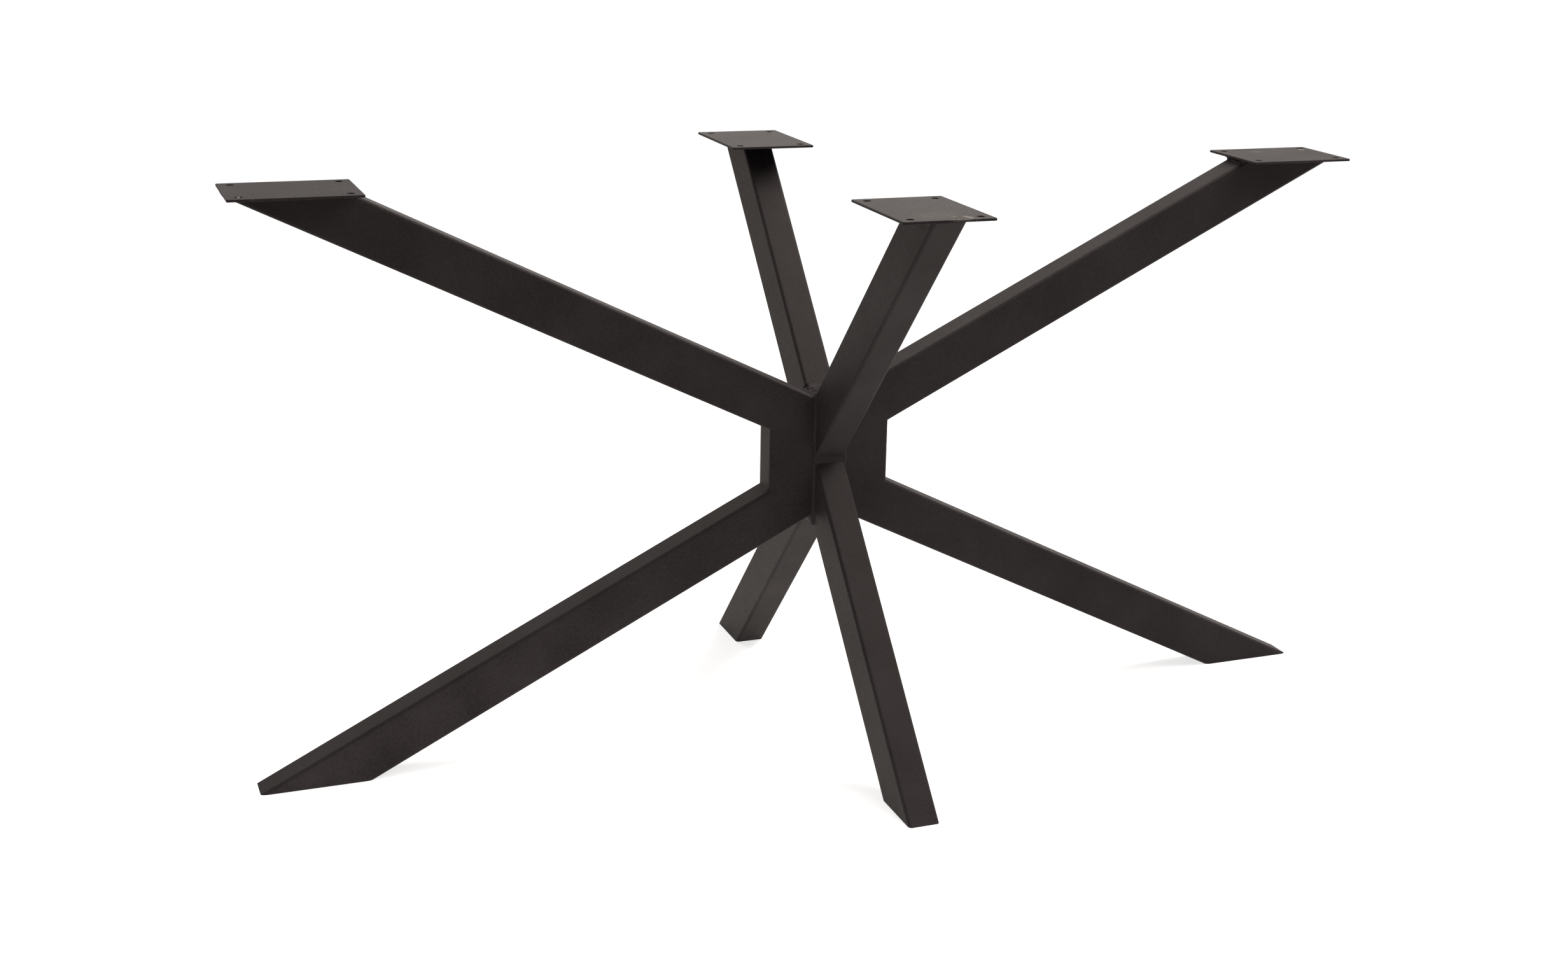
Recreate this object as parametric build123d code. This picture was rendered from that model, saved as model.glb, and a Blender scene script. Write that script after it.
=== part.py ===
"""Welded cross base for a table top: sloping tube arms and legs around a square hub post.

Millimetres, +Z up, +X along the long frame, +Y along the short frame towards the back.
The origin is on the floor, under the middle of the hub.
"""
import os
from math import hypot

from build123d import *

# Overall size
HEIGHT = 720.0                # floor to the top of the seat plates
LENGTH = 1440.0               # over the long frame, left to right
WIDTH = 700.0                 # over the short frame, front to back
LONG_HUB_HEIGHT = 361.5       # where a long arm and its leg would meet, on the hub's axis
SHORT_HUB_DROP = 4.5          # middle of the notch between a short arm and its leg, below that

# Rectangular tube of every arm, leg and spacer
TUBE_DEPTH = 60.0             # across the slope
TUBE_WIDTH = 40.0             # across the frame, and the side of the hub post
TUBE_WALL = 2.0
TUBE_INNER_RADIUS = 2.0

# Hub post and its end caps
HUB_WALL = 3.0
HUB_SETBACK = 4.0             # post end short of the short arms' and legs' outer edges
HUB_CAP_THICKNESS = 3.0
HUB_CAP_GAP = 3.0             # slot left open between a cap and the post's left and right walls
NOTCH_GAP = 3.0               # between a short arm and its leg, at the post

# Spacers between the long arms and legs
SPACER_DEPTH = 60.0
SEAM_FILL = 3.0               # spacer end ground flush this far over the tubes' rounded edges

# Seat plates
PLATE_LENGTH = 148.0
PLATE_WIDTH = 112.0
PLATE_THICKNESS = 3.0
PLATE_CORNER_RADIUS = 2.0
HOLE_DIAMETER = 9.0
HOLE_EDGE = 14.0              # hole centre to each edge of the plate

# Plates that close the feet
FOOT_PLATE_THICKNESS = 3.0

# Weld beads
HUB_WELD_LEG = 3.5            # upright beads in the hub's corners
NOTCH_WELD_DEPTH = 3.0        # beads across the notches
END_WELD_LEG = 8.0            # beads over the long tubes' ends at the post
SPACER_WELD_LEG = 3.0
PLATE_WELD_LEG = 4.0
WELD_FULLNESS = 0.85          # 1 is a flat bead face, less is hollow

# Levels and faces that the pieces share
SEAT = HEIGHT - PLATE_THICKNESS
SHORT_HUB_HEIGHT = LONG_HUB_HEIGHT - SHORT_HUB_DROP
HUB_FACE = TUBE_WIDTH / 2
SPACER_FACE = HUB_FACE + SPACER_DEPTH
TUBE_RADIUS = TUBE_INNER_RADIUS + TUBE_WALL
TUBE_FLAT = TUBE_WIDTH - 2 * TUBE_RADIUS
HUB_BORE = TUBE_WIDTH - 2 * HUB_WALL

# Turn about Z that brings a piece drawn along +X to each side
SIDES = {"right": 0, "back": 90, "left": 180, "front": 270}
LONG_SIDES = ("left", "right")
SHORT_SIDES = ("front", "back")


class Limb:
    """An arm or leg, drawn outwards in the XZ plane along its inner face, from the hub to its tip.

    The inner face looks at the frame's other limb: it is an arm's underside and a leg's upper face.
    """

    def __init__(self, root_x, root_z, tip_x, tip_z):
        self.root_x = root_x
        self.root_z = root_z
        self.tip_x = tip_x
        self.slope = (tip_z - root_z) / (tip_x - root_x)
        self.outwards = 1 if self.slope > 0 else -1
        self.length_per_x = hypot(1, self.slope)

    def inner(self, x):
        """Height of the inner face."""
        return self.root_z + self.slope * (x - self.root_x)

    def outer(self, x, inset=0.0):
        """Height of the outer face, or of a line set in from it across the tube."""
        return self.inner(x) + self.outwards * (TUBE_DEPTH - inset) * self.length_per_x

    def tip_start(self):
        """Where the outer face reaches the level of the tip."""
        return self.tip_x - TUBE_DEPTH * self.length_per_x / abs(self.slope)

    def bar(self, inset=0.0):
        """Solid bar of the tube's section, thinner by the inset all round, running past both ends."""
        along = Plane((self.root_x, 0, self.root_z), x_dir=(0, 1, 0), z_dir=(1, 0, self.slope))
        section = RectangleRounded(TUBE_WIDTH - 2 * inset, TUBE_DEPTH - 2 * inset, TUBE_RADIUS - inset)
        middle = Pos(0, self.outwards * TUBE_DEPTH / 2)
        return extrude(along * middle * section, amount=LENGTH, both=True)


LONG_ARM = Limb(0.0, LONG_HUB_HEIGHT, LENGTH / 2, SEAT)
LONG_LEG = Limb(0.0, LONG_HUB_HEIGHT, LENGTH / 2, 0.0)
SHORT_ARM = Limb(HUB_FACE, SHORT_HUB_HEIGHT + NOTCH_GAP / 2, WIDTH / 2, SEAT)
SHORT_LEG = Limb(HUB_FACE, SHORT_HUB_HEIGHT - NOTCH_GAP / 2, WIDTH / 2, 0.0)
POST_TOP = SHORT_ARM.outer(HUB_FACE) - HUB_SETBACK
POST_BOTTOM = SHORT_LEG.outer(HUB_FACE) + HUB_SETBACK


def turned(shape, side):
    """A piece drawn along +X, turned to its side of the base."""
    return Rot(0, 0, SIDES[side]) * shape


def slab(bottom, top, near=0.0):
    """Room between two levels, from a given distance outwards."""
    size = Box(LENGTH, 2 * TUBE_WIDTH, top - bottom, align=(Align.MIN, Align.CENTER, Align.MIN))
    return Pos(near, 0, bottom) * size


# Tubes

def tube(limb):
    """Arm or leg: cut upright at the hub post, and level under the seat plate or on the floor."""
    return (limb.bar() - limb.bar(TUBE_WALL)) & slab(0, SEAT, near=HUB_FACE)


def spacer():
    """Upright tube between a long arm and its leg, coped over their rounded edges and ground flush."""
    section = RectangleRounded(SPACER_DEPTH, TUBE_WIDTH, TUBE_RADIUS)
    bore = RectangleRounded(SPACER_DEPTH - 2 * TUBE_WALL, TUBE_WIDTH - 2 * TUBE_WALL, TUBE_INNER_RADIUS)
    upright = extrude(Pos(HUB_FACE + SPACER_DEPTH / 2, 0) * (section - bore), amount=SEAT)
    arm_fill = SEAM_FILL * LONG_ARM.length_per_x
    leg_fill = SEAM_FILL * LONG_LEG.length_per_x
    wedge = Polyline(
        (HUB_FACE, 0, LONG_ARM.inner(HUB_FACE) + arm_fill),
        (SPACER_FACE, 0, LONG_ARM.inner(SPACER_FACE) + arm_fill),
        (SPACER_FACE, 0, LONG_LEG.inner(SPACER_FACE) - leg_fill),
        (HUB_FACE, 0, LONG_LEG.inner(HUB_FACE) - leg_fill),
        close=True,
    )
    room = extrude(make_face(wedge), amount=TUBE_WIDTH, both=True)
    return (upright & room) - LONG_ARM.bar() - LONG_LEG.bar()


def hub_post():
    """Upright square tube behind every butted end."""
    section = RectangleRounded(TUBE_WIDTH, TUBE_WIDTH, TUBE_RADIUS)
    bore = RectangleRounded(HUB_BORE, HUB_BORE, TUBE_INNER_RADIUS)
    return extrude(Pos(0, 0, POST_BOTTOM) * (section - bore), amount=POST_TOP - POST_BOTTOM)


# Plates

def hub_cap(bottom):
    """Plate let into an end of the post, flush with its rim and held by the front and back walls."""
    outline = Rectangle(HUB_BORE - 2 * HUB_CAP_GAP, HUB_BORE)
    return extrude(Pos(0, 0, bottom) * outline, amount=HUB_CAP_THICKNESS)


def seat_plate(arm):
    """Drilled plate on an arm's level end, its outer edge in line with the arm's tip."""
    outline = RectangleRounded(PLATE_LENGTH, PLATE_WIDTH, PLATE_CORNER_RADIUS)
    pitch_x = PLATE_LENGTH - 2 * HOLE_EDGE
    pitch_y = PLATE_WIDTH - 2 * HOLE_EDGE
    holes = GridLocations(pitch_x, pitch_y, 2, 2) * Circle(HOLE_DIAMETER / 2)
    place = Pos(arm.tip_x - PLATE_LENGTH / 2, 0, SEAT)
    return extrude(place * (outline - holes), amount=PLATE_THICKNESS)


def foot_plate(leg):
    """Plate let into a leg's level end, filling the tube's bore and flush with the floor."""
    return leg.bar(TUBE_WALL) & slab(0, FOOT_PLATE_THICKNESS)


# Weld beads

def bead_face(corner, first, second):
    """Section of a fillet bead: two legs from the corner and a slightly hollow face."""
    corner, first, second = Vector(*corner), Vector(*first), Vector(*second)
    crown = corner + ((first + second) / 2 - corner) * WELD_FULLNESS
    return make_face(Polyline(second, corner, first) + ThreePointArc(first, crown, second))


def across(face, length):
    """A bead drawn in the XZ plane, run across the tube."""
    return extrude(face, amount=length / 2, dir=(0, 1, 0), both=True)


def hub_corner_bead():
    """Upright bead between a long frame's face and a short frame's face."""
    bottom = LONG_LEG.outer(HUB_FACE, inset=TUBE_RADIUS)
    top = LONG_ARM.outer(HUB_FACE, inset=TUBE_RADIUS)
    reach = HUB_FACE + HUB_WELD_LEG
    face = bead_face((HUB_FACE, HUB_FACE, bottom), (reach, HUB_FACE, bottom), (HUB_FACE, reach, bottom))
    return extrude(face, amount=top - bottom, dir=(0, 0, 1))


def notch_bead():
    """Bead that fills the root of the notch between a short arm and its leg."""
    front = HUB_FACE + NOTCH_WELD_DEPTH
    crown = HUB_FACE + NOTCH_WELD_DEPTH * WELD_FULLNESS
    high, low = SHORT_ARM.inner(front), SHORT_LEG.inner(front)
    root = Polyline(
        (front, 0, low),
        (HUB_FACE, 0, SHORT_LEG.inner(HUB_FACE)),
        (HUB_FACE, 0, SHORT_ARM.inner(HUB_FACE)),
        (front, 0, high),
    )
    face = ThreePointArc((front, 0, high), (crown, 0, SHORT_HUB_HEIGHT), (front, 0, low))
    return across(make_face(root + face), TUBE_WIDTH)


def end_bead(limb):
    """Bead in the corner between a long tube's outer face and the post, no higher than the post's rim."""
    reach = HUB_FACE + END_WELD_LEG
    start = limb.outer(HUB_FACE)
    rim = POST_TOP if limb is LONG_ARM else POST_BOTTOM
    stop = start + limb.outwards * min(END_WELD_LEG, abs(rim - start))
    face = bead_face((HUB_FACE, 0, start), (reach, 0, limb.outer(reach)), (HUB_FACE, 0, stop))
    return across(face, TUBE_WIDTH)


def setback_bead(limb):
    """Bead on the post's rim that closes the step up to a short tube's end."""
    rim = POST_TOP if limb is SHORT_ARM else POST_BOTTOM
    face = bead_face((HUB_FACE, 0, rim), (HUB_FACE - HUB_SETBACK, 0, rim), (HUB_FACE, 0, limb.outer(HUB_FACE)))
    return across(face, TUBE_FLAT)


def spacer_bead(limb):
    """Bead in the corner between a long tube's inner face and the spacer."""
    reach = SPACER_FACE + SPACER_WELD_LEG
    start = limb.inner(SPACER_FACE)
    stop = start - limb.outwards * SPACER_WELD_LEG
    face = bead_face((SPACER_FACE, 0, start), (reach, 0, limb.inner(reach)), (SPACER_FACE, 0, stop))
    return across(face, TUBE_FLAT)


def plate_beads(arm):
    """Beads under a seat plate: one across the arm's outer face and one along each side of the arm."""
    start = arm.tip_start()
    lead = PLATE_WELD_LEG / arm.slope
    back = start - lead
    beads = [across(bead_face((start, 0, SEAT), (back, 0, SEAT), (back, 0, arm.outer(back))), TUBE_FLAT)]
    margin = TUBE_RADIUS * arm.length_per_x / arm.slope
    run = arm.tip_x - lead - start - 2 * margin
    for side in (1, -1):
        corner = (start + margin, side * HUB_FACE, SEAT)
        sideways = (start + margin, side * (HUB_FACE + PLATE_WELD_LEG), SEAT)
        down = (start + margin, side * HUB_FACE, SEAT - PLATE_WELD_LEG)
        beads.append(extrude(bead_face(corner, sideways, down), amount=run, dir=(1, 0, 0)))
    return beads


# Assembly

nodes = {
    "hub_post": hub_post(),
    "hub_cap_top": hub_cap(POST_TOP - HUB_CAP_THICKNESS),
    "hub_cap_bottom": hub_cap(POST_BOTTOM),
}
plate_welds = []
for frame, arm, leg, sides in (
    ("long", LONG_ARM, LONG_LEG, LONG_SIDES),
    ("short", SHORT_ARM, SHORT_LEG, SHORT_SIDES),
):
    for side in sides:
        nodes[f"{frame}_arm_{side}"] = turned(tube(arm), side)
        nodes[f"{frame}_leg_{side}"] = turned(tube(leg), side)
        nodes[f"seat_plate_{side}"] = turned(seat_plate(arm), side)
        nodes[f"foot_plate_{side}"] = turned(foot_plate(leg), side)
        plate_welds += [turned(bead, side) for bead in plate_beads(arm)]
for side in LONG_SIDES:
    nodes[f"spacer_{side}"] = turned(spacer(), side)

long_limbs = (LONG_ARM, LONG_LEG)
short_limbs = (SHORT_ARM, SHORT_LEG)
end_welds = [turned(end_bead(limb), side) for limb in long_limbs for side in LONG_SIDES]
end_welds += [turned(setback_bead(limb), side) for limb in short_limbs for side in SHORT_SIDES]
welds = {
    "hub_corner_welds": [turned(hub_corner_bead(), side) for side in SIDES],
    "notch_welds": [turned(notch_bead(), side) for side in SHORT_SIDES],
    "tube_end_welds": end_welds,
    "spacer_welds": [turned(spacer_bead(limb), side) for limb in long_limbs for side in LONG_SIDES],
    "plate_welds": plate_welds,
}
for name, beads in welds.items():
    nodes[name] = Compound(children=beads)

os.makedirs("parts", exist_ok=True)
for name, shape in nodes.items():
    export_step(shape, f"parts/{name}.step")
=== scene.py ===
from math import hypot, pi, radians, sin

import bmesh
import bpy
from mathutils import Matrix, Vector, noise


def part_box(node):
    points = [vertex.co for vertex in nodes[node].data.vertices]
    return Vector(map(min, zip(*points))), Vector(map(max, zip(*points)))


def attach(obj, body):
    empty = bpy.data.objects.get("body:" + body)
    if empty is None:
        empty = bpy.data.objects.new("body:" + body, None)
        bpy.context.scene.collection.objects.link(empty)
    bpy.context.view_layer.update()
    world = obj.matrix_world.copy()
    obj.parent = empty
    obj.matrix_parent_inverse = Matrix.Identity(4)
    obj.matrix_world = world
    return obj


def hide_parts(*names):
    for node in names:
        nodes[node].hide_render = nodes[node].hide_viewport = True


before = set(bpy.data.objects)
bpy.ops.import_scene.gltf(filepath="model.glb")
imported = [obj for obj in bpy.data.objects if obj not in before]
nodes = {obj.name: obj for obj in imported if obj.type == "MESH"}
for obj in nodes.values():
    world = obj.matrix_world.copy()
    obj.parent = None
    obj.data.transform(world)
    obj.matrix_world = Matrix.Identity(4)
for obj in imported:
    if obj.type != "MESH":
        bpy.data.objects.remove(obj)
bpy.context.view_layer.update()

scene = bpy.context.scene
scene.view_settings.view_transform = "Standard"

# Camera
# The photograph was taken from the front left, about 0.4 m above the seat plates, with a lens
# of about 47 mm on a 36 mm wide frame and the picture cut out slightly off its middle.
IMAGE_WIDTH = 2464
SENSOR_WIDTH = 36.0                     # millimetres
CAMERA_PLACE = (-0.9415, -2.3426, 1.1106)
CAMERA_AZIMUTH = radians(-22.539)
CAMERA_ELEVATION = radians(17.589)
CAMERA_ROLL = radians(1.6457)
FOCAL_PIXELS = 3242.9
AXIS_OFFSET_PIXELS = (95.6, 17.3)       # optical axis right of and below the picture's middle

camera_data = bpy.data.cameras.new("camera")
camera_data.sensor_width = SENSOR_WIDTH
camera_data.lens = SENSOR_WIDTH * FOCAL_PIXELS / IMAGE_WIDTH
camera_data.shift_x = -AXIS_OFFSET_PIXELS[0] / IMAGE_WIDTH
camera_data.shift_y = AXIS_OFFSET_PIXELS[1] / IMAGE_WIDTH
camera = bpy.data.objects.new("camera", camera_data)
scene.collection.objects.link(camera)
camera.matrix_world = (
    Matrix.Translation(CAMERA_PLACE)
    @ Matrix.Rotation(CAMERA_AZIMUTH, 4, "Z")
    @ Matrix.Rotation(pi / 2 - CAMERA_ELEVATION, 4, "X")
    @ Matrix.Rotation(CAMERA_ROLL, 4, "Z")
)
scene.camera = camera

# Studio
# A white sweep in warm light, from soft lamps high on the right and in front and weaker ones on the
# left and behind. The lit floor beside the base lifts its undersides, and only the camera sees it
# pure white.
WORLD_LIGHT = 0.02                      # how much the surroundings light the base, where 1 is white
LIGHT_COLOUR = "#fff8f0"
WHITE = "#ffffff"


def linear(hex_colour):
    """An sRGB hex colour as linear RGBA."""
    channels = [int(hex_colour[i:i + 2], 16) / 255 for i in (1, 3, 5)]
    return (*[c / 12.92 if c <= 0.04045 else ((c + 0.055) / 1.055) ** 2.4 for c in channels], 1.0)


def add_node(tree, kind, inputs=None, **settings):
    """Adds a shader node and returns its outputs.

    Its inputs are set to values or linked from other nodes' outputs. A Mix node has its factor on
    input 0. It mixes numbers on 2 and 3 to output 0, and colours on 6 and 7 to output 2.
    """
    node = tree.nodes.new(f"ShaderNode{kind}")
    for name, value in settings.items():
        setattr(node, name, value)
    for name, value in (inputs or {}).items():
        if isinstance(value, bpy.types.NodeSocket):
            tree.links.new(value, node.inputs[name])
        else:
            node.inputs[name].default_value = value
    return node.outputs


def seen_directly(tree):
    """1 on rays that show the background as it is: from the camera, off gloss and through glass."""
    ray = add_node(tree, "LightPath")
    bounced = add_node(tree, "Math", {0: ray["Is Glossy Ray"], 1: ray["Is Transmission Ray"]},
                       operation="MAXIMUM")[0]
    return add_node(tree, "Math", {0: ray["Is Camera Ray"], 1: bounced}, operation="MAXIMUM")[0]


def backdrop_colour(tree):
    """White to the camera, and the lamps' warm colour to all other rays."""
    on_camera = add_node(tree, "LightPath")["Is Camera Ray"]
    return add_node(tree, "Mix", {0: on_camera, 6: linear(LIGHT_COLOUR), 7: linear(WHITE)},
                    data_type="RGBA")[2]


world = bpy.data.worlds.new("white_studio")
scene.world = world
world.use_nodes = True
tree = world.node_tree
tree.nodes.clear()
strength = add_node(tree, "MapRange", {
    "Value": seen_directly(tree), "To Min": WORLD_LIGHT, "To Max": 1.0})[0]
background = add_node(tree, "Background", {"Color": backdrop_colour(tree), "Strength": strength})[0]
add_node(tree, "OutputWorld", {"Surface": background})

LIGHT_AIM = Vector((0.0, 0.0, 0.36))
for name, place, size, power in (
    ("right_light", (1.6, 0.0, 2.3), 1.2, 53.0),
    ("front_light", (1.0, -1.2, 3.0), 2.0, 47.0),
    ("back_light", (1.2, 3.2, 1.9), 2.0, 13.5),
    ("left_light", (-0.9, 0.7, 2.6), 1.2, 14.0),
):
    lamp = bpy.data.lights.new(name, "AREA")
    lamp.size = size
    lamp.energy = power
    lamp.color = linear(LIGHT_COLOUR)[:3]
    light = bpy.data.objects.new(name, lamp)
    scene.collection.objects.link(light)
    light.location = place
    light.rotation_euler = (LIGHT_AIM - Vector(place)).to_track_quat("-Z", "Y").to_euler()

FLOOR_SIZE = 40.0
FLOOR_DROP = 0.0002                     # keeps the floor's face apart from the feet's
floor_mesh = bpy.data.meshes.new("floor")
shape = bmesh.new()
bmesh.ops.create_grid(shape, x_segments=1, y_segments=1, size=FLOOR_SIZE / 2)
bmesh.ops.translate(shape, verts=shape.verts, vec=(0, 0, -FLOOR_DROP))
shape.to_mesh(floor_mesh)
shape.free()
floor = bpy.data.objects.new("floor", floor_mesh)
scene.collection.objects.link(floor)

# Matt white paper. What the camera and gloss see of it glows white, and less near the base, where
# the lamps add to it and the shadow has to show. Only a disc beside the base throws light on it, as
# paper under a lamp does.
PAPER_COLOUR = "#e7e7e7"
NEAR_FLOOR, FAR_FLOOR = 1.2, 3.0        # radii between which the glow that is seen rises
NEAR_GLOW, FAR_GLOW = 0.75, 1.0
LIT_MIDDLE = (-0.3, -0.25, 0.0)         # middle of the disc that lights the base
LIT_RADIUS = 0.5
LIT_GLOW = 1.4
paper = bpy.data.materials.new("white_studio_paper")
paper.use_nodes = True
tree = paper.node_tree
tree.nodes.clear()
place = add_node(tree, "TexCoord")["Object"]
distance = add_node(tree, "VectorMath", {0: place}, operation="LENGTH")["Value"]
seen_glow = add_node(tree, "MapRange", {
    "Value": distance, "From Min": NEAR_FLOOR, "From Max": FAR_FLOOR,
    "To Min": NEAR_GLOW, "To Max": FAR_GLOW}, interpolation_type="SMOOTHSTEP")[0]
from_middle = add_node(tree, "VectorMath", {0: place, 1: LIT_MIDDLE}, operation="DISTANCE")["Value"]
in_disc = add_node(tree, "Math", {0: from_middle, 1: LIT_RADIUS}, operation="LESS_THAN")[0]
lighting_glow = add_node(tree, "Math", {0: in_disc, 1: LIT_GLOW}, operation="MULTIPLY")[0]
strength = add_node(tree, "Mix", {0: seen_directly(tree), 2: lighting_glow, 3: seen_glow})[0]
matt = add_node(tree, "BsdfDiffuse", {"Color": linear(PAPER_COLOUR)})[0]
glow = add_node(tree, "Emission", {"Color": backdrop_colour(tree), "Strength": strength})[0]
both = add_node(tree, "AddShader", {0: matt, 1: glow})[0]
add_node(tree, "OutputMaterial", {"Surface": both})
floor_mesh.materials.append(paper)

# Tube limbs, hub post and spacers
# The arms and legs are 60 by 40 mm welded steel tube with 2 mm walls, sawn at both ends and butted
# against an upright square post. Two short lengths of the same tube close the long frame's corners.
TUBE_DEPTH = 0.060
TUBE_BLACK = ("#1e1b1d", "#2f2c2e")     # darkest and lightest
TUBE_ROUGHNESS = 0.6
COAT_GLOSS = 0.12
COAT_GLOSS_TINT = "#fff6ee"
GRAIN = 0.0021                          # the real grain is about 0.4 mm, drawn coarser so that it shows
GRAIN_HEIGHT = 0.0003
GRAIN_RELIEF = 0.9
GRAIN_ROUGHNESS = 0.07                  # how far the grain shifts the roughness
GRAIN_RANGE = (0.3, 0.7)                # most of the noise lies in here
CLOUDS = 0.07                           # the coat's thickness drifts over about this length
MOTTLE_RANGE = (0.7, 1.3)               # most of the sum of grain and clouds lies in here
FLECK = 0.0035                          # a rub, or the painted glint, breaks up into flecks of about this size
MARK_CORE, MARK_FLECKS = 0.35, 1.3        # a mark reaches from the first to their sum, in its half sizes
MARK_FADE = 0.5                          # and fades over this


def powder_coat(name, colours, roughness, relief, rubs_and_glints=()):
    """Baked powder paint: a matt, finely pebbled skin whose grain breaks up the light.

    It is a dielectric of low gloss. The grain shifts colour, roughness and relief together. Each mark
    is a place where handling has worn the paint, or a painted glint: its middle, its half sizes, its turn
    and colour.
    """
    coat = bpy.data.materials.new(name)
    coat.use_nodes = True
    tree = coat.node_tree
    tree.nodes.clear()
    place = add_node(tree, "TexCoord")["Object"]
    grain = add_node(tree, "TexNoise", {"Vector": place, "Scale": 1 / GRAIN, "Detail": 1.0})["Fac"]
    clouds = add_node(tree, "TexNoise", {"Vector": place, "Scale": 1 / CLOUDS, "Detail": 3.0})["Fac"]
    mottle = add_node(tree, "Math", {0: grain, 1: clouds}, operation="ADD")[0]
    mottle = add_node(tree, "MapRange", {
        "Value": mottle, "From Min": MOTTLE_RANGE[0], "From Max": MOTTLE_RANGE[1]})[0]
    dark, light = (linear(colour) for colour in colours)
    colour = add_node(tree, "Mix", {0: mottle, 6: dark, 7: light}, data_type="RGBA")[2]
    flecks = add_node(tree, "TexNoise", {"Vector": place, "Scale": 1 / FLECK, "Detail": 2.0})["Fac"]
    for middle, half_sizes, turn, mark_colour in rubs_and_glints:
        in_mark = add_node(tree, "Mapping", {
            "Vector": place, "Location": middle, "Rotation": turn, "Scale": half_sizes},
            vector_type="TEXTURE")[0]
        away = add_node(tree, "VectorMath", {0: in_mark}, operation="LENGTH")["Value"]
        reach = add_node(tree, "Math", {0: flecks, 1: MARK_FLECKS, 2: MARK_CORE}, operation="MULTIPLY_ADD")[0]
        worn = add_node(tree, "Math", {0: reach, 1: away}, operation="SUBTRACT")[0]
        worn = add_node(tree, "MapRange", {"Value": worn, "From Min": 0.0, "From Max": MARK_FADE})[0]
        colour = add_node(tree, "Mix", {0: worn, 6: colour, 7: linear(mark_colour)}, data_type="RGBA")[2]
    gloss = add_node(tree, "MapRange", {
        "Value": grain, "From Min": GRAIN_RANGE[0], "From Max": GRAIN_RANGE[1],
        "To Min": roughness - GRAIN_ROUGHNESS, "To Max": roughness + GRAIN_ROUGHNESS})[0]
    pebbles = add_node(tree, "Bump", {"Strength": relief, "Distance": GRAIN_HEIGHT, "Height": grain})[0]
    paint = add_node(tree, "BsdfPrincipled", {
        "Base Color": colour, "Roughness": gloss, "Normal": pebbles,
        "Specular IOR Level": COAT_GLOSS, "Specular Tint": linear(COAT_GLOSS_TINT)})[0]
    add_node(tree, "OutputMaterial", {"Surface": paint})
    return coat


# The coat on the tubes is nearly black and greys where light grazes it. A faint scratch lies by the
# left spacer.
SPACER_SCRATCH = ((-0.069, -0.020, 0.328), (0.0006, 0.002, 0.027), (0.0, radians(-26), 0.0), "#343131")
tube_coat = powder_coat("black_powder_coat_on_tube", TUBE_BLACK, TUBE_ROUGHNESS, GRAIN_RELIEF,
                        [SPACER_SCRATCH])
for name, node in nodes.items():
    if name.startswith(("long_", "short_", "hub_post", "spacer_")) and not name.endswith("welds"):
        node.data.materials[0] = tube_coat

# Hub caps and foot plates
# Small 3 mm steel plates let into the post's ends and into the legs' level cuts, tacked inside
# and coated with the rest. On flat plate the coat lies a little smoother and lighter.
PLATE_BLACK = ("#1f1c1e", "#302d2f")
PLATE_ROUGHNESS = 0.58
plate_coat = powder_coat("black_powder_coat_on_plate", PLATE_BLACK, PLATE_ROUGHNESS, GRAIN_RELIEF)
for name, node in nodes.items():
    if name.startswith(("hub_cap_", "foot_plate_")):
        node.data.materials[0] = plate_coat

# Seat plates
# Four 3 mm plates, cut by laser with four bolt holes each and laid on the arms' level ends. Their
# edges are broken by blasting, which leaves a narrow round that catches the light, and stacking
# has worn the paint of three of them. A near-white fleck on the wall of one hole in the left plate
# is a painted glint.
ARRIS = 0.0006
ARRIS_ANGLE = radians(60)               # edges that turn more than this are broken
FLAT_ANGLE = radians(1)                 # faces that turn less are one face
SAME_PLACE = 1e-6
PLATE_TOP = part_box("seat_plate_front")[1][2]
PLATE_EDGE = PLATE_TOP - 0.001
RUB_DEPTH = 0.004
LEVEL = (0.0, 0.0, 0.0)
FRONT_PLATE_RUBS = [                    # a dull patch, the scuffed front edge, two scrapes and a scratch
    ((-0.002, -0.318, PLATE_TOP), (0.040, 0.026, RUB_DEPTH), (0.0, 0.0, radians(20)), "#343030"),
    ((0.014, -0.349, PLATE_TOP), (0.022, 0.003, RUB_DEPTH), LEVEL, "#524d4b"),
    ((0.027, -0.337, PLATE_TOP), (0.004, 0.010, RUB_DEPTH), (0.0, 0.0, radians(25)), "#76716e"),
    ((0.012, -0.332, PLATE_TOP), (0.003, 0.006, RUB_DEPTH), (0.0, 0.0, radians(-50)), "#4a4543"),
    ((-0.017, -0.310, PLATE_TOP), (0.0012, 0.018, RUB_DEPTH), LEVEL, "#393534"),
]
RIGHT_PLATE_RUBS = [                    # a pale scrape near its end and a dull patch
    ((0.702, 0.034, PLATE_TOP), (0.003, 0.008, RUB_DEPTH), LEVEL, "#76716e"),
    ((0.628, 0.027, PLATE_TOP), (0.012, 0.005, RUB_DEPTH), LEVEL, "#453f3c"),
]
LEFT_PLATE_RUB_AND_GLINT = [                     # a brown scuff on the front edge and a painted glint, a near-white fleck on a hole's wall
    ((-0.693, -0.056, PLATE_EDGE), (0.004, 0.002, 0.001), LEVEL, "#4a403a"),
    # a painted glint: a near-white fleck where light catches the hole's wall
    ((-0.705, -0.0375, PLATE_EDGE), (0.0016, 0.001, 0.0008), LEVEL, "#f2efe9"),
]
worn_seat_coat_with_glint = powder_coat("worn_black_powder_coat_with_painted_glint", PLATE_BLACK, PLATE_ROUGHNESS, GRAIN_RELIEF,
                        FRONT_PLATE_RUBS + RIGHT_PLATE_RUBS + LEFT_PLATE_RUB_AND_GLINT)


def add_piece(name, shape, material, replaced):
    """Makes a finished bmesh a piece of the base, on its only body, in place of a CAD node."""
    mesh = bpy.data.meshes.new(name)
    shape.to_mesh(mesh)
    shape.free()
    mesh.materials.append(material)
    piece = bpy.data.objects.new(name, mesh)
    scene.collection.objects.link(piece)
    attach(piece, "root")
    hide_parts(replaced)


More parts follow.
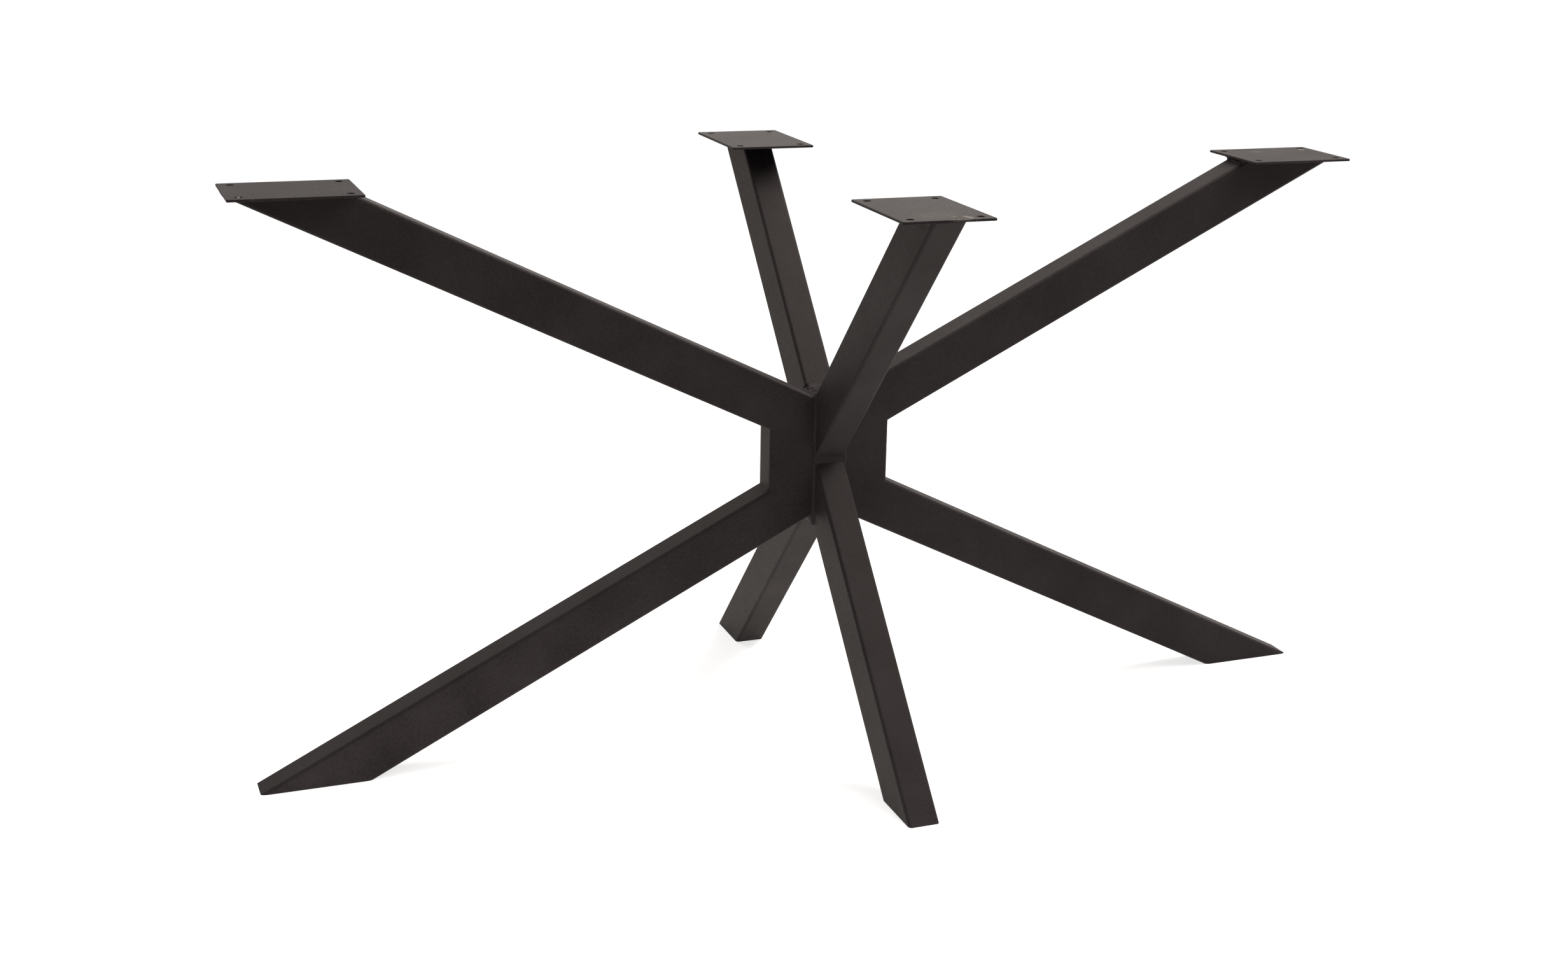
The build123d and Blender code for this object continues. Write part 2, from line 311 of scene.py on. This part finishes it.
for side in ("left", "right", "front", "back"):
    shape = bmesh.new()
    shape.from_mesh(nodes[f"seat_plate_{side}"].data)
    bmesh.ops.remove_doubles(shape, verts=shape.verts, dist=SAME_PLACE)
    bmesh.ops.dissolve_limit(shape, angle_limit=FLAT_ANGLE, verts=shape.verts, edges=shape.edges)
    arrises = [edge for edge in shape.edges if edge.calc_face_angle(0) > ARRIS_ANGLE]
    bmesh.ops.bevel(shape, geom=arrises, offset=ARRIS, offset_type="OFFSET", affect="EDGES", segments=2,
                    profile=0.5, material=-1)
    for face in shape.faces:
        face.smooth = False
    add_piece(f"drilled_seat_plate_{side}", shape, worn_seat_coat_with_glint, f"seat_plate_{side}")

# Upright hub beads
# The long and short frames are welded to each other in the hub's four upright corners, by hand and
# from the bottom up, with round beads that thin towards the top.
BEAD_STEP = 0.0006                      # length between a bead's sections
ACROSS = 8                              # steps across a bead's face
RIPPLE = 0.0028
RIPPLE_DEPTH = 0.03                     # the coat fills most of the ripple
RIPPLE_BOW = 0.4                        # how far a ripple's ends lie ahead of its middle, in ripples
NO_RIPPLE = 0.0
WANDER = 0.16                           # how far a hand-laid bead's size strays, over about WANDER_LENGTH
WANDER_LENGTH = 0.013
WANDER_APART, WANDER_ACROSS = 5, 2      # how unlike neighbouring beads and a bead's two sides stray
BEAD_END = 0.003
BEAD_END_SIZE = 0.25
TOE_ANGLE = radians(50)


def lay_bead(shape, start, end, first, second, fullness, swell=(1.0, 1.0), wander=WANDER,
             wander_length=WANDER_LENGTH, ripple=RIPPLE_DEPTH,
             end_size=BEAD_END_SIZE, end_length=BEAD_END):
    """A bead in the corner from start to end whose toes are first and second from that corner.

    Fullness 1 is a flat face, more is round and less is hollow. Swell is the bead's size at its start
    and end, which are rounded off to end_size over end_length. Its size strays by wander over
    wander_length and swings by ripple.
    """
    start, end, first, second = Vector(start), Vector(end), Vector(first), Vector(second)
    run = end - start
    crown = (first + second) * (fullness - 0.5)     # the face bends from toe to toe towards it
    section = [Vector()]
    for i in range(ACROSS + 1):
        t = i / ACROSS
        section.append(first * (1 - t) ** 2 + crown * (2 * t * (1 - t)) + second * t ** 2)
    laid = len(shape.verts)
    near = [shape.verts.new(start + point) for point in section]
    grown = bmesh.ops.extrude_face_region(shape, geom=[shape.faces.new(near)])["geom"]
    far = [item for item in grown if isinstance(item, bmesh.types.BMVert)]
    bmesh.ops.translate(shape, verts=far, vec=run)
    lengthwise = [
        edge for vertex in near for edge in vertex.link_edges if edge.other_vert(vertex) in far
    ]
    bmesh.ops.subdivide_edges(shape, edges=lengthwise, cuts=round(run.length / BEAD_STEP))
    shape.verts.ensure_lookup_table()
    for vertex in shape.verts[laid:]:
        part = (vertex.co - start).dot(run) / run.length_squared
        centre = start + run * part
        along = part * run.length
        reach = vertex.co - centre
        lean = reach.dot(first) / first.length_squared - reach.dot(second) / second.length_squared
        crest = sin(2 * pi * (along - RIPPLE_BOW * RIPPLE * lean ** 2) / RIPPLE)
        spot = centre + WANDER_APART * (first + second) + WANDER_ACROSS * reach
        stray = noise.noise(spot / wander_length)
        size = swell[0] + (swell[1] - swell[0]) * part + wander * stray + ripple * crest
        to_end = min(1.0, max(0.0, min(along, run.length - along)) / end_length)
        size *= end_size + (1 - end_size) * (1 - (1 - to_end) ** 2)
        vertex.co = centre + reach * size


def finish_bead(shape):
    """Normals outwards, smooth faces and crisp toes."""
    bmesh.ops.recalc_face_normals(shape, faces=shape.faces)
    for face in shape.faces:
        face.smooth = True
    for edge in shape.edges:
        edge.smooth = edge.calc_face_angle(0) < TOE_ANGLE


# The coat flows over the beads, so its grain is shallower there and it shines a little more.
WELD_ROUGHNESS = 0.55
WELD_RELIEF = 0.7
weld_coat = powder_coat("black_powder_coat_on_weld", TUBE_BLACK, WELD_ROUGHNESS, WELD_RELIEF)
post_low, post_high = (Vector(corner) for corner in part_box("hub_post"))
HUB = post_high.x                       # half the width of the post, and of the tubes
HUB_BEAD = 0.003
HUB_FULLNESS = 1.15
HUB_SWELL = (1.1, 0.8)
HUB_WANDER = 0.2
HUB_END_SIZE = 0.8
shape = bmesh.new()
for x in (-1, 1):
    for y in (-1, 1):
        lay_bead(shape, (x * HUB, y * HUB, post_low.z), (x * HUB, y * HUB, post_high.z),
                 (x * HUB_BEAD, 0, 0), (0, y * HUB_BEAD, 0), HUB_FULLNESS, HUB_SWELL,
                 wander=HUB_WANDER, end_size=HUB_END_SIZE)
finish_bead(shape)
add_piece("upright_hub_beads", shape, weld_coat, "hub_corner_welds")

# Tube end beads
# Full beads across the long arms' and legs' ends, from their outer faces to the post's rim, that run
# out on the tubes' rounded edges. Above, a ragged tongue of weld hangs over the post's inside. Slim
# beads close the step from the rim to the short arms' and legs' ends.
FLAT_FACE = 1.0                         # fullness of a flat-faced bead
STEADY = 0.05                           # wander of a bead laid with a steady hand
END_BEAD = 0.011
RUN_OUTS = {"arm": (0.75, 0.005), "leg": (0.35, 0.010)}     # end size and length
EDGE_FILL = 0.004                       # how deep the bead reaches behind the tubes' rounded edges
POST_WALL = 0.003
TONGUE_REACH = 0.0016
TONGUE_DEPTH = 0.0012
TONGUE_OUTER, TONGUE_INNER = 1.3 * TONGUE_DEPTH, 0.8 * TONGUE_DEPTH
TONGUE_END_SIZE = 0.6
RAGGED, RAGGED_LENGTH = 1.2, 0.004
STEP_BEAD = 0.004
STEP_BEAD_HALF = 0.017
STEP_FULLNESS = 0.95
STEP_END_SIZE = 0.7


def limb_faces(node, axis):
    """Heights of a limb's inner and outer faces at the hub, and their rise per metre outwards."""
    low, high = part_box(node)
    slope = (high[2] - low[2]) / (max(high[axis], -low[axis]) - HUB)
    depth = TUBE_DEPTH * hypot(1, slope)
    if "_arm_" in node:
        return low[2], low[2] + depth, slope
    return high[2], high[2] - depth, -slope


shape = bmesh.new()
for limb, rim, up in (("arm", post_high.z, 1), ("leg", post_low.z, -1)):
    end_size, run_out = RUN_OUTS[limb]
    for x, side in ((-1, "left"), (1, "right")):
        _, outer, slope = limb_faces(f"long_{limb}_{side}", 0)
        root = outer - up * EDGE_FILL
        lay_bead(shape, (x * HUB, -HUB, root), (x * HUB, HUB, root),
                 (x * END_BEAD, 0, END_BEAD * slope), (0, 0, rim - root), FLAT_FACE,
                 wander=STEADY, ripple=NO_RIPPLE, end_size=end_size, end_length=run_out)
        if limb == "arm":
            inside = Vector((x * (HUB - POST_WALL), 0, rim - TONGUE_DEPTH))
            along = Vector((0, HUB - POST_WALL, 0))
            lay_bead(shape, inside - along, inside + along, (x * TONGUE_REACH, 0, TONGUE_OUTER),
                     (-x * TONGUE_REACH, 0, TONGUE_INNER), FLAT_FACE, wander=RAGGED,
                     wander_length=RAGGED_LENGTH, ripple=NO_RIPPLE, end_size=TONGUE_END_SIZE)
    for y, side in ((-1, "front"), (1, "back")):
        _, outer, _ = limb_faces(f"short_{limb}_{side}", 1)
        lay_bead(shape, (-STEP_BEAD_HALF, y * HUB, rim), (STEP_BEAD_HALF, y * HUB, rim),
                 (0, -y * STEP_BEAD, 0), (0, 0, outer - rim), STEP_FULLNESS,
                 ripple=NO_RIPPLE, end_size=STEP_END_SIZE)
finish_bead(shape)
add_piece("tube_end_beads", shape, weld_coat, "tube_end_welds")

# Notch beads
# The short arms and legs meet the post with a narrow notch between them, which is filled by a
# bead that also fills the tubes' rounded edges at both ends.
NOTCH_ROOT = 0.004
NOTCH_BEAD_ON_ARM, NOTCH_BEAD_ON_LEG = 0.002, 0.003
NOTCH_BEAD_HALF_HEIGHT = 0.0085
NOTCH_BEAD_HALF = HUB + 0.0004
NOTCH_END_SIZE = 1.0
shape = bmesh.new()
notch = (limb_faces("short_arm_front", 1)[0] + limb_faces("short_leg_front", 1)[0]) / 2
for y in (-1, 1):
    inside = y * (HUB - NOTCH_ROOT)
    lay_bead(shape, (-NOTCH_BEAD_HALF, inside, notch), (NOTCH_BEAD_HALF, inside, notch),
             (0, y * (NOTCH_ROOT + NOTCH_BEAD_ON_ARM), NOTCH_BEAD_HALF_HEIGHT),
             (0, y * (NOTCH_ROOT + NOTCH_BEAD_ON_LEG), -NOTCH_BEAD_HALF_HEIGHT), FLAT_FACE,
             wander=STEADY, ripple=NO_RIPPLE, end_size=NOTCH_END_SIZE)
finish_bead(shape)
add_piece("notch_beads", shape, weld_coat, "notch_welds")

# Spacer beads
# Beads in the corners where the spacers' outer walls meet the long arms and legs. No two are alike:
# those on the left are ground nearly sharp, and the one above on the right is the fullest.
SPACER_BEAD_HALF = 0.016
SPACER_FULLNESS = 0.9
SPACER_BEADS = {                        # how far each reaches on the limb and on the spacer
    ("left", "arm"): (0.0015, 0.0015),
    ("left", "leg"): (0.0025, 0.002),
    ("right", "arm"): (0.0025, 0.007),
    ("right", "leg"): (0.002, 0.002),
}
spacer_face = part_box("spacer_right")[1][0]
shape = bmesh.new()
for (side, limb), (on_limb, on_spacer) in SPACER_BEADS.items():
    x = -1 if side == "left" else 1
    inwards = -1 if limb == "arm" else 1
    inner, _, slope = limb_faces(f"long_{limb}_{side}", 0)
    corner = inner + slope * (spacer_face - HUB)
    lay_bead(shape, (x * spacer_face, -SPACER_BEAD_HALF, corner),
             (x * spacer_face, SPACER_BEAD_HALF, corner),
             (x * on_limb, 0, slope * on_limb), (0, 0, inwards * on_spacer), SPACER_FULLNESS)
finish_bead(shape)
add_piece("spacer_beads", shape, weld_coat, "spacer_welds")

# Seat plate beads
# Each plate is welded on from below: a hollow bead across the arm's upper face, rounded off at its
# ends, and one along each side of the arm that stops short of the corners.
CROSS_BEADS = {"long": 0.006, "short": 0.005}
CROSS_FULLNESS = 0.75
CROSS_END_SIZE, CROSS_END = 0.7, 0.005
SIDE_BEAD = 0.004
SIDE_FULLNESS = 0.85
SIDE_RIPPLE = 0.015
SIDE_MARGIN = 0.008
shape = bmesh.new()
for axis, name, sides in ((0, "long", ("left", "right")), (1, "short", ("front", "back"))):
    for side in sides:
        out = Vector((0, 0, 0))
        out[axis] = -1 if side in ("left", "front") else 1
        across = Vector((out.y, out.x, 0))
        _, outer, slope = limb_faces(f"{name}_arm_{side}", axis)
        low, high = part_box(f"{name}_arm_{side}")
        seat = Vector((0, 0, high[2]))
        tip = max(high[axis], -low[axis])
        start = HUB + (seat.z - outer) / slope
        back = -out * CROSS_BEADS[name] / slope
        down = Vector((0, 0, CROSS_BEADS[name] + EDGE_FILL))
        lay_bead(shape, out * start + seat - across * HUB, out * start + seat + across * HUB,
                 back, back - down, CROSS_FULLNESS,
                 ripple=NO_RIPPLE, end_size=CROSS_END_SIZE, end_length=CROSS_END)
        for way in (-1, 1):
            lay_bead(shape, out * (start + SIDE_MARGIN) + seat + across * HUB * way,
                     out * (tip - SIDE_MARGIN) + seat + across * HUB * way,
                     across * SIDE_BEAD * way, Vector((0, 0, -SIDE_BEAD)), SIDE_FULLNESS,
                     ripple=SIDE_RIPPLE)
finish_bead(shape)
add_piece("seat_plate_beads", shape, weld_coat, "plate_welds")
